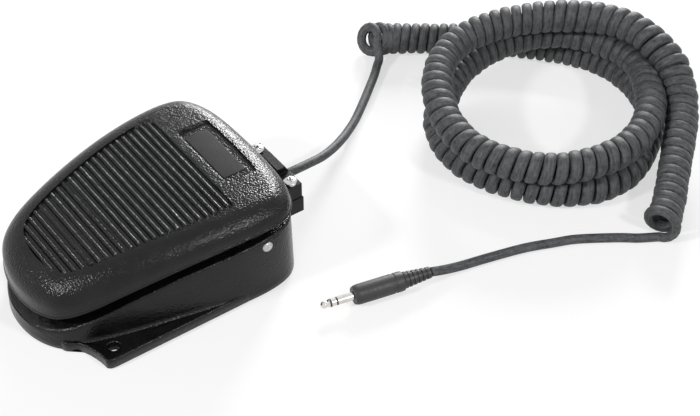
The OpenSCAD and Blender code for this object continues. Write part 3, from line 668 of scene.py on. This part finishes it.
# each turn stands square to the line, and the first ones lean into the FIRST directions
forward = unit(at_run(s + 1.5) - at_run(s - 1.5))
beside = unit(np.cross(forward, [0, 0, 1.0]))
above = np.cross(beside, forward)
facing = near_start(s, 5, 17)[:, None]
beside = unit(beside + facing * (FIRST_RIGHT - beside))
above += facing * (FIRST_UP - above)
above = unit(above - (above * beside).sum(axis=1)[:, None] * beside)
phi = 2 * math.pi * (turn + FIRST_TURN)
outward = np.cos(phi)[:, None] * beside + np.sin(phi)[:, None] * above
helix = at_run(s) + wind[:, None] * outward

lead = smooth_line([*LEAD, tuple(helix[0])], 5)[:-1]
tail = smooth_line([tuple(helix[-1]), *TAIL], 5)[1:]
cord_points = np.concatenate([lead, helix, tail])
blend_in = smoothstep(len(lead) - 8, len(lead), np.arange(len(lead)))
blend_out = 1 - smoothstep(0, 8, np.arange(len(tail)))


def with_ends(size):
    """A size along the winding, run out to the cord's own on the lead and the tail."""
    return np.concatenate(
        [CORD + (size[0] - CORD) * blend_in, size, CORD + (size[-1] - CORD) * blend_out]
    )


cord_wide, cord_deep = with_ends(wide), with_ends(deep)
cord_points[:, 2] = np.maximum(cord_points[:, 2], cord_deep / 2 + 0.03)  # never under the floor


def cord_tube(points, wide, deep, outward, first, last):
    """A tube with a squarish section where it is flattened; outward is given from first to last.

    The third result is each point's place for the streaks: along the cord, and round it.
    """
    along = unit(np.gradient(points, axis=0))
    out = np.zeros_like(points)
    out[first:last] = outward

    def square(k, guess):
        out[k] = unit(guess - along[k] * float(guess @ along[k]))

    for k in range(first, last):
        square(k, out[k])
    for k in range(first - 1, -1, -1):
        square(k, out[k + 1])
    for k in range(last, len(points)):
        square(k, out[k - 1])
    across = np.cross(along, out)
    turn = np.linspace(0, 2 * math.pi, SECTION_SIDES, endpoint=False)
    x, y = np.cos(turn), np.sin(turn)
    size = (np.abs(x) ** SQUARE + np.abs(y) ** SQUARE) ** (-1 / SQUARE)
    flatness = np.clip((wide / deep - 1) * 6, 0, 1)[:, None]
    size = 1 + (size - 1) * flatness
    rings = points[:, None] + (wide[:, None] / 2 * x * size)[:, :, None] * across[:, None]
    rings = rings + (deep[:, None] / 2 * y * size)[:, :, None] * out[:, None]
    length = running_length(points)
    streaks = np.stack(np.broadcast_arrays(length[:, None] * 0.12, 2 * x, 2 * y), 2)
    verts, faces = loft([ring.tolist() for ring in rings], capped=True)
    return verts, faces, streaks.reshape(-1, 3)


verts, faces, streaks = cord_tube(
    cord_points, cord_wide, cord_deep, outward, len(lead), len(lead) + len(helix)
)
cord = build("curly_cord", verts, faces)
streak_places = cord.data.attributes.new("along_cord", "FLOAT_VECTOR", "POINT")
streak_places.data.foreach_set("vector", streaks.ravel())

# ------------------------------------------------------------------ plug

plug_way = unit(np.array([-0.21, -0.98, 0]))
PLUG_AXES = [np.cross([0, 0, 1.0], plug_way), [0, 0, 1], plug_way]


def on_plug(profile, sides=64):
    return moved(revolve(profile, sides), TAIL[-1], PLUG_AXES)


boot_profile = [(2.0, 0.3), (2.45, 0.5)]
for k in range(5):  # five ribs with a groove behind each
    z, r = 1.2 + 2.0 * k, 2.5 + 0.2 * k
    boot_profile += [(r, z), (r + 0.05, z + 0.9)]
    boot_profile += [(r - 0.35, z + 1.05), (r - 0.35, z + 1.75), (r + 0.2, z + 1.9)]
boot_profile += [(3.5, 11.9), (3.4, 12.28)]
boot = build("plug_boot_ribbed", *on_plug(boot_profile), sharp=35)
grip_profile = [
    (3.6, 12.34), (4.05, 12.8), (4.2, 13.8), (4.2, 16.0), (3.95, 16.2), (3.95, 17.0), (4.2, 17.2),
    (4.2, 32.0), (4.05, 33.2), (3.6, 34.3),
]
grip = build("plug_grip", *on_plug(grip_profile), sharp=35)
sleeve_profile = [(1.6, 34.34), (1.75, 34.5), (1.75, 41.34)]
ring_profile = [(1.75, 42.08), (1.75, 44.08)]
tip_profile = [
    (1.75, 44.84), (1.72, 45.1), (1.3, 45.84), (1.62, 46.6), (1.65, 47.1), (1.3, 48.0), (0.6, 48.5),
]
contact_parts = [on_plug(profile, 48) for profile in (sleeve_profile, ring_profile, tip_profile)]
contact = build("plug_contacts", *merge(contact_parts), sharp=30)

# ------------------------------------------------------------------ materials

# a Mix node's sockets, by place
MIX_FACTOR, NUMBER_A, NUMBER_B, COLOUR_A, COLOUR_B = 0, 2, 3, 6, 7
MIX_NUMBER_OUT, MIX_COLOUR_OUT = 0, 2


class Graph:
    """Short names for building one material's nodes."""

    def __init__(self, name):
        self.material = bpy.data.materials.new(name)
        self.material.use_nodes = True
        self.tree = self.material.node_tree
        self.shader = self.tree.nodes["Principled BSDF"]
        self.where = self.add("ShaderNodeTexCoord").outputs["Object"]

    def add(self, kind, **values):
        node = self.tree.nodes.new(kind)
        for key, value in values.items():
            setattr(node, key, value)
        return node

    def link(self, a, b):
        self.tree.links.new(a, b)

    def stretch(self, factors):
        node = self.add("ShaderNodeMapping")
        node.inputs["Scale"].default_value = factors
        self.link(self.where, node.inputs["Vector"])
        return node.outputs["Vector"]

    def noise(self, scale, detail, where=None, roughness=0.5):
        node = self.add("ShaderNodeTexNoise")
        node.inputs["Scale"].default_value = scale
        node.inputs["Detail"].default_value = detail
        node.inputs["Roughness"].default_value = roughness
        self.link(where or self.where, node.inputs["Vector"])
        return node.outputs["Fac"]

    def cells(self, scale):
        node = self.add("ShaderNodeTexVoronoi", feature="SMOOTH_F1")
        node.inputs["Scale"].default_value = scale
        node.inputs["Smoothness"].default_value = 0.6
        self.link(self.where, node.inputs["Vector"])
        return node.outputs["Distance"]

    def spread(self, source, low, high, from_low=0.3, from_high=0.7):
        node = self.add("ShaderNodeMapRange")
        node.inputs["From Min"].default_value = from_low
        node.inputs["From Max"].default_value = from_high
        node.inputs["To Min"].default_value = low
        node.inputs["To Max"].default_value = high
        self.link(source, node.inputs["Value"])
        return node.outputs["Result"]

    def combine(self, a, b, share):
        node = self.add("ShaderNodeMix", data_type="FLOAT")
        node.inputs[MIX_FACTOR].default_value = share
        self.link(a, node.inputs[NUMBER_A])
        self.link(b, node.inputs[NUMBER_B])
        return node.outputs[MIX_NUMBER_OUT]

    def colour(self, a, b, factor):
        node = self.add("ShaderNodeMix", data_type="RGBA")
        node.inputs[COLOUR_A].default_value = (*a, 1)
        node.inputs[COLOUR_B].default_value = (*b, 1)
        self.link(factor, node.inputs[MIX_FACTOR])
        self.link(node.outputs[MIX_COLOUR_OUT], self.shader.inputs["Base Color"])

    def bump(self, height, distance, strength):
        """Strength is a number or a socket; distance is in metres."""
        node = self.add("ShaderNodeBump")
        node.inputs["Distance"].default_value = distance
        if isinstance(strength, float):
            node.inputs["Strength"].default_value = strength
        else:
            self.link(strength, node.inputs["Strength"])
        self.link(height, node.inputs["Height"])
        self.link(node.outputs["Normal"], self.shader.inputs["Normal"])

    def facing_up(self, low, high):
        """Low on what faces sideways or down, high on what faces up."""
        geometry = self.add("ShaderNodeNewGeometry")
        split = self.add("ShaderNodeSeparateXYZ")
        self.link(geometry.outputs["Normal"], split.inputs[0])
        return self.spread(split.outputs["Z"], low, high, 0.1, 0.8)


def paint():
    """Glossy black wrinkle paint over a casting, whose wrinkle is deeper on what faces up."""
    g = Graph("wrinkle_paint")
    wrinkle = g.combine(g.cells(1150), g.noise(1750, 2), 0.45)
    g.colour((0.002, 0.002, 0.0022), (0.008, 0.008, 0.0085), g.spread(g.noise(90, 3), 0, 1))
    g.link(g.spread(g.noise(700, 3), 0.14, 0.26), g.shader.inputs["Roughness"])
    g.shader.inputs["Specular IOR Level"].default_value = 0.26
    g.bump(wrinkle, 0.00032, g.facing_up(0.66, 1.0))
    return g.material


def plain(name, dark, light, rough, grain, depth, metal=0.0, stretch=None, specular=0.5):
    """A colour that varies a little, with a fine grain; `rough` is the least and the most roughness."""
    g = Graph(name)
    where = g.stretch(stretch) if stretch else None
    g.colour(dark, light, g.spread(g.noise(120, 3), 0, 1))
    g.link(g.spread(g.noise(grain * 0.6, 3, where), *rough), g.shader.inputs["Roughness"])
    g.shader.inputs["Metallic"].default_value = metal
    g.shader.inputs["Specular IOR Level"].default_value = specular
    g.bump(g.noise(grain, 3, where), depth, 0.6)
    return g.material


def jacket():
    """The cord's matt jacket: dark grey, scuffed in streaks that run along it."""
    g = Graph("cord_jacket")
    place = g.add("ShaderNodeAttribute", attribute_name="along_cord").outputs["Vector"]
    streak = g.noise(1.6, 5, place, 0.72)
    scuff = g.combine(streak, g.noise(600, 4, roughness=0.7), 0.35)
    g.colour((0.016, 0.0165, 0.018), (0.17, 0.174, 0.18), g.spread(scuff, 0, 1, 0.36, 0.7))
    g.link(g.spread(streak, 0.45, 0.66), g.shader.inputs["Roughness"])
    g.shader.inputs["Specular IOR Level"].default_value = 0.3
    g.bump(g.combine(streak, g.noise(1800, 4), 0.5), 0.00022, 0.8)
    return g.material


PAINT = paint()
JACKET = jacket()
# name, darkest and lightest colour, roughness, grain's scale and depth, metal, stretch
BLACK = plain("black_plastic", (0.018, 0.018, 0.019), (0.035, 0.035, 0.037), (0.38, 0.55), 1400, 0.00006)
BRIGHT = plain("bright_steel", (0.42, 0.42, 0.43), (0.6, 0.6, 0.61), (0.16, 0.32), 900, 0.00002, 1.0)
TURNED = plain("turned_pin", (0.42, 0.42, 0.43), (0.56, 0.56, 0.56), (0.2, 0.34), 700, 0.00002, 1.0, (14, 1, 1))
ZINC = plain("zinc_plate", (0.42, 0.42, 0.43), (0.58, 0.58, 0.58), (0.28, 0.45), 500, 0.00003, 1.0)
CLAMP = plain(
    "clamp_black", (0.004, 0.004, 0.0045), (0.012, 0.012, 0.013), (0.34, 0.5), 1700, 0.00014, specular=0.2
)
RUBBER = plain("rubber", (0.02, 0.02, 0.02), (0.04, 0.04, 0.04), (0.6, 0.8), 1600, 0.00012)
PLATE = plain(
    "plate_face", (0.01, 0.01, 0.011), (0.018, 0.018, 0.02), (0.5, 0.62), 1600, 0.00014, specular=0.2
)
BRONZE = plain("bronze", (0.16, 0.1, 0.06), (0.24, 0.16, 0.09), (0.35, 0.5), 800, 0.00003, 1.0)
RED_CASE = plain("red_case", (0.2, 0.03, 0.02), (0.28, 0.05, 0.04), (0.35, 0.5), 900, 0.00005)
NYLON = plain("nylon", (0.72, 0.69, 0.6), (0.8, 0.78, 0.7), (0.35, 0.5), 1200, 0.00004)
BRASS = plain("brass", (0.6, 0.43, 0.16), (0.74, 0.56, 0.26), (0.2, 0.35), 700, 0.00003, 1.0)
WIRE_RED = plain("wire_sleeve", (0.3, 0.02, 0.02), (0.4, 0.04, 0.03), (0.4, 0.55), 1500, 0.00004)
NICKEL = plain("nickel", (0.62, 0.6, 0.56), (0.74, 0.72, 0.68), (0.12, 0.22), 600, 0.00001, 1.0)

CAD_LOOKS = {
    "bottom_plate": (ZINC, "plate_steel"),
    "bottom_plate_screws": (BRIGHT, "screw_steel"),
    "rubber_pad": (RUBBER, "pad_rubber"),
    "pivot_bushes": (BRONZE, "bronze"),
    "spring_seat": (ZINC, "plate_steel"),
    "switch_bracket": (ZINC, "plate_steel"),
    "bracket_screws": (BRIGHT, "screw_steel"),
    "switch_case": (RED_CASE, "switch_case"),
    "switch_cover": (BLACK, "black_plastic"),
    "switch_plunger": (NYLON, "white_nylon"),
    "switch_terminals": (BRASS, "terminal_brass"),
    "switch_screws": (BRIGHT, "screw_steel"),
    "switch_wires": (WIRE_RED, "wire_sleeve"),
    "actuator_screw": (BRIGHT, "screw_steel"),
    "actuator_nut": (BRIGHT, "screw_steel"),
    "stop_bumper": (RUBBER, "pad_rubber"),
    "clamp_lower": (CLAMP, "black_plastic"),
    "clamp_upper": (CLAMP, "black_plastic"),
    "clamp_mount_screws": (BRIGHT, "screw_steel"),
    "cord_grommet": (RUBBER, "pad_rubber"),
    "cord_inner": (JACKET, "cord_jacket"),
    "plug_insulators": (BLACK, "insulator"),
}


def dress(obj, material, slot):
    obj.data.materials.clear()
    obj.data.materials.append(material)


for name, (material, slot) in CAD_LOOKS.items():
    dress(NODES[name], material, slot)

for name, width in (
    ("clamp_lower", 0.45),
    ("clamp_upper", 0.45),
    ("switch_case", 0.3),
    ("switch_cover", 0.25),
    ("switch_bracket", 0.2),
    ("bottom_plate", 0.2),
    ("actuator_nut", 0.25),
):
    weld = NODES[name].modifiers.new("weld", "WELD")
    weld.merge_threshold = 0.00001
    bevel = NODES[name].modifiers.new("bevel", "BEVEL")
    bevel.width = width * MM
    bevel.segments = 3
    bevel.limit_method = "ANGLE"
    bevel.angle_limit = math.radians(40)
    bevel.harden_normals = False

for obj, body, nodes, material, slot in (
    (treadle, "treadle", ["treadle_casting"], PAINT, "cast_paint"),
    (base, "base", ["base_casting"], PAINT, "cast_paint"),
    (clamp_screws, "base", ["clamp_screws"], BRIGHT, "screw_steel"),
    (pin, "base", ["pivot_pin"], TURNED, "pin_steel"),
    (plate, "treadle", ["label_plate"], PLATE, "label_plate"),
    (spring, "base", ["return_spring"], BRIGHT, "spring_steel"),
    (cord, "base", ["cord_lead", "cord_coil", "cord_tail"], JACKET, "cord_jacket"),
    (boot, "base", ["plug_boot"], BLACK, "black_plastic"),
    (grip, "base", ["plug_body"], BLACK, "black_plastic"),
    (contact, "base", ["plug_sleeve", "plug_tip"], NICKEL, "plug_metal"),
):
    dress(obj, material, slot)
    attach(obj, body)
    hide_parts(*nodes)
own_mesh(spring)

# ------------------------------------------------------------------ floor, light and background

# the floor is pale for the light that it gives back, and near white with a soft shadow where it is seen
FLOOR_COLOUR, FLOOR_SEEN, FLOOR_GLOW = (0.87,) * 3, (0.42,) * 3, 0.62
SKY_LIGHT, SKY_SEEN = 0.2, 1.0


def seen_directly(tree):
    """1 for the rays that show the background: the camera's, and those in metal and glass."""
    rays = tree.nodes.new("ShaderNodeLightPath").outputs
    seen = rays["Is Camera Ray"]
    for kind in ("Is Glossy Ray", "Is Transmission Ray"):
        either = tree.nodes.new("ShaderNodeMath")
        either.operation = "MAXIMUM"
        tree.links.new(seen, either.inputs[0])
        tree.links.new(rays[kind], either.inputs[1])
        seen = either.outputs[0]
    return seen


floor_mesh = bpy.data.meshes.new("floor")
floor_mesh.from_pydata([(-3, -3, 0), (3, -3, 0), (3, 3, 0), (-3, 3, 0)], [], [(0, 1, 2, 3)])
floor = bpy.data.objects.new("floor", floor_mesh)
scene.collection.objects.link(floor)
floor_look = Graph("pale_floor")
seen = seen_directly(floor_look.tree)
floor_look.colour(FLOOR_COLOUR, FLOOR_SEEN, seen)
floor_look.shader.inputs["Emission Color"].default_value = (1, 1, 1, 1)
floor_look.link(
    floor_look.spread(seen, 0, FLOOR_GLOW, 0, 1), floor_look.shader.inputs["Emission Strength"]
)
floor_look.shader.inputs["Roughness"].default_value = 0.9
floor_look.shader.inputs["Specular IOR Level"].default_value = 0.1
floor_mesh.materials.append(floor_look.material)


def softbox(name, place, aim, size, watts):
    """A rectangular lamp at a place in metres, turned towards its aim."""
    light = bpy.data.lights.new(name, "AREA")
    light.shape = "RECTANGLE"
    light.size, light.size_y = size
    light.energy = watts
    obj = bpy.data.objects.new(name, light)
    scene.collection.objects.link(obj)
    back = unit(np.array(place, float) - np.array(aim, float))
    side = unit(np.cross([0, 0, 1.0], back))
    obj.matrix_world = placed(side, np.cross(back, side), back, place)


softbox("back_light", (-0.79, 0.93, 0.44), (0, 0.03, 0.03), (0.44, 0.36), 18)
softbox("right_light", (0.94, 0.31, 0.82), (0, 0, 0.03), (0.15, 0.1), 5)
softbox("toe_light", (-0.06, -0.87, 0.77), (0, 0, 0.03), (0.18, 0.09), 7.2)

world = bpy.data.worlds.new("studio")
scene.world = world
world.use_nodes = True
tree = world.node_tree
strength = tree.nodes.new("ShaderNodeMapRange")
strength.inputs["To Min"].default_value = SKY_LIGHT
strength.inputs["To Max"].default_value = SKY_SEEN
tree.links.new(seen_directly(tree), strength.inputs["Value"])
sky = tree.nodes["Background"]
sky.inputs["Color"].default_value = (1, 1, 1, 1)
tree.links.new(strength.outputs["Result"], sky.inputs["Strength"])
